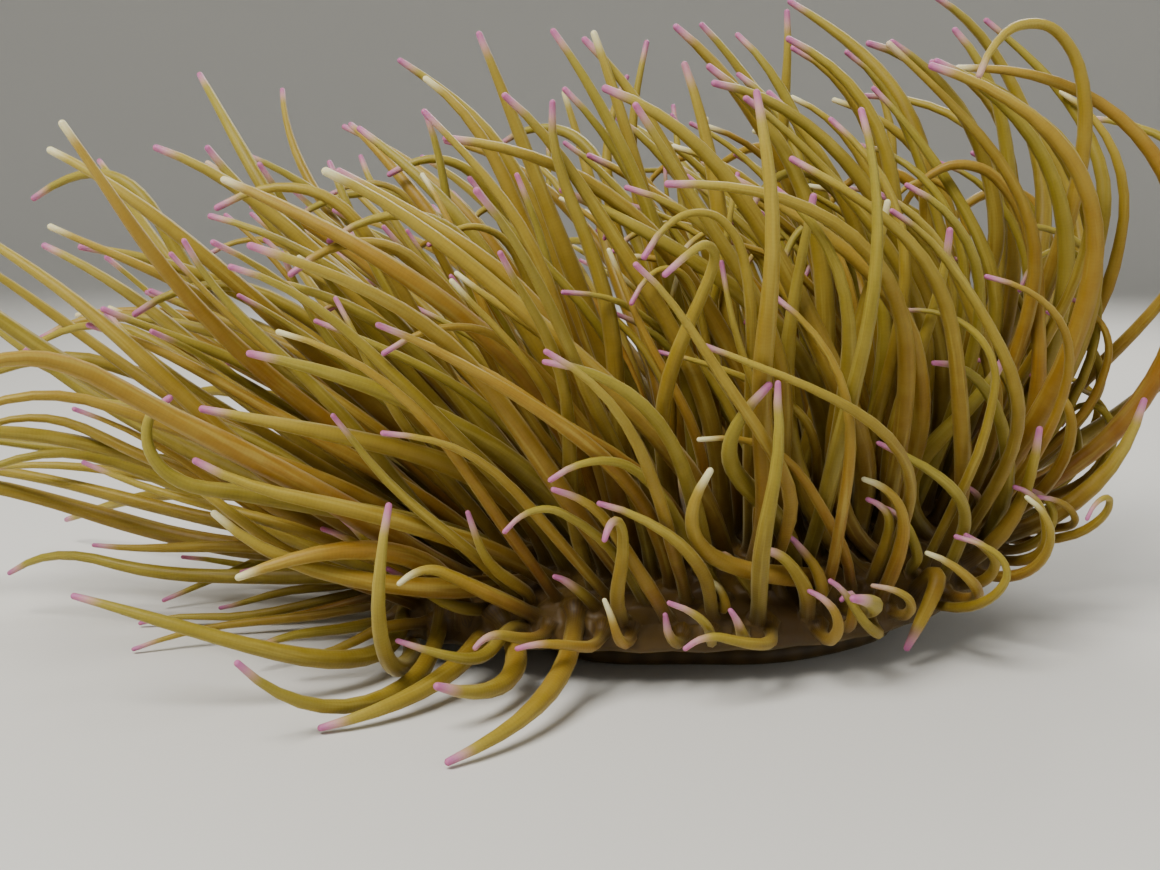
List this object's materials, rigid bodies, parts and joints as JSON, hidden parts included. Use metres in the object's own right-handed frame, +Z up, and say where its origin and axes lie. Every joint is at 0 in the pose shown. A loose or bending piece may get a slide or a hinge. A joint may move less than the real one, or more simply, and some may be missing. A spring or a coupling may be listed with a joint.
{
  "type": "sea anemone",
  "caption": "Life-size sea anemone with a dense crown of long, purple-tipped tentacles streaming to one side over a low column and foot.",
  "frame": {"origin": "middle of the foot's flat underside", "axes": "+Z up out of the foot, +X to the right in the front view and away from the way the tentacles stream, +Y from the front to the back"},
  "size_m": [0.3021, 0.223, 0.1316],
  "materials": {
    "tentacle": "wet, soft gloss, faint rings across, olive gold with a purple tip",
    "crown": "wet, soft gloss, faint rings across, olive gold with purple tips",
    "disc": "wet, soft gloss, faint rays",
    "lips": "wet, soft gloss, pleated",
    "column": "wet, smooth, faint upright lines"
  },
  "bodies": {
    "root": {"foot": "column", "column": "column", "oral_disc": "disc", "lips": "lips", "crown_inner_01": "crown", "crown_outer_01": "crown", "crown_inner_02": "crown", "crown_outer_02": "crown", "crown_inner_03": "crown", "crown_outer_03": "crown", "crown_inner_04": "crown", "crown_outer_04": "crown", "crown_inner_05": "crown", "crown_outer_05": "crown", "crown_inner_06": "crown", "crown_outer_06": "crown", "crown_inner_07": "crown", "crown_outer_07": "crown", "crown_inner_08": "crown", "crown_outer_08": "crown", "crown_inner_09": "crown", "crown_outer_09": "crown", "crown_inner_10": "crown", "crown_outer_10": "crown", "crown_inner_11": "crown", "crown_outer_11": "crown", "crown_inner_12": "crown", "crown_outer_12": "crown", "tentacle_01_root": "tentacle", "tentacle_01_middle": "tentacle", "tentacle_01_tip": "tentacle", "tentacle_02_root": "tentacle", "tentacle_02_middle": "tentacle", "tentacle_02_tip": "tentacle", "tentacle_03_root": "tentacle", "tentacle_03_middle": "tentacle", "tentacle_03_tip": "tentacle", "tentacle_04_root": "tentacle", "tentacle_04_middle": "tentacle", "tentacle_04_tip": "tentacle", "tentacle_05_root": "tentacle", "tentacle_05_middle": "tentacle", "tentacle_05_tip": "tentacle", "tentacle_06_root": "tentacle", "tentacle_06_middle": "tentacle", "tentacle_06_tip": "tentacle", "tentacle_07_root": "tentacle", "tentacle_07_middle": "tentacle", "tentacle_07_tip": "tentacle", "tentacle_08_root": "tentacle", "tentacle_08_middle": "tentacle", "tentacle_08_tip": "tentacle", "tentacle_09_root": "tentacle", "tentacle_09_middle": "tentacle", "tentacle_09_tip": "tentacle", "tentacle_10_root": "tentacle", "tentacle_10_middle": "tentacle", "tentacle_10_tip": "tentacle"}
  },
  "joints": []
}
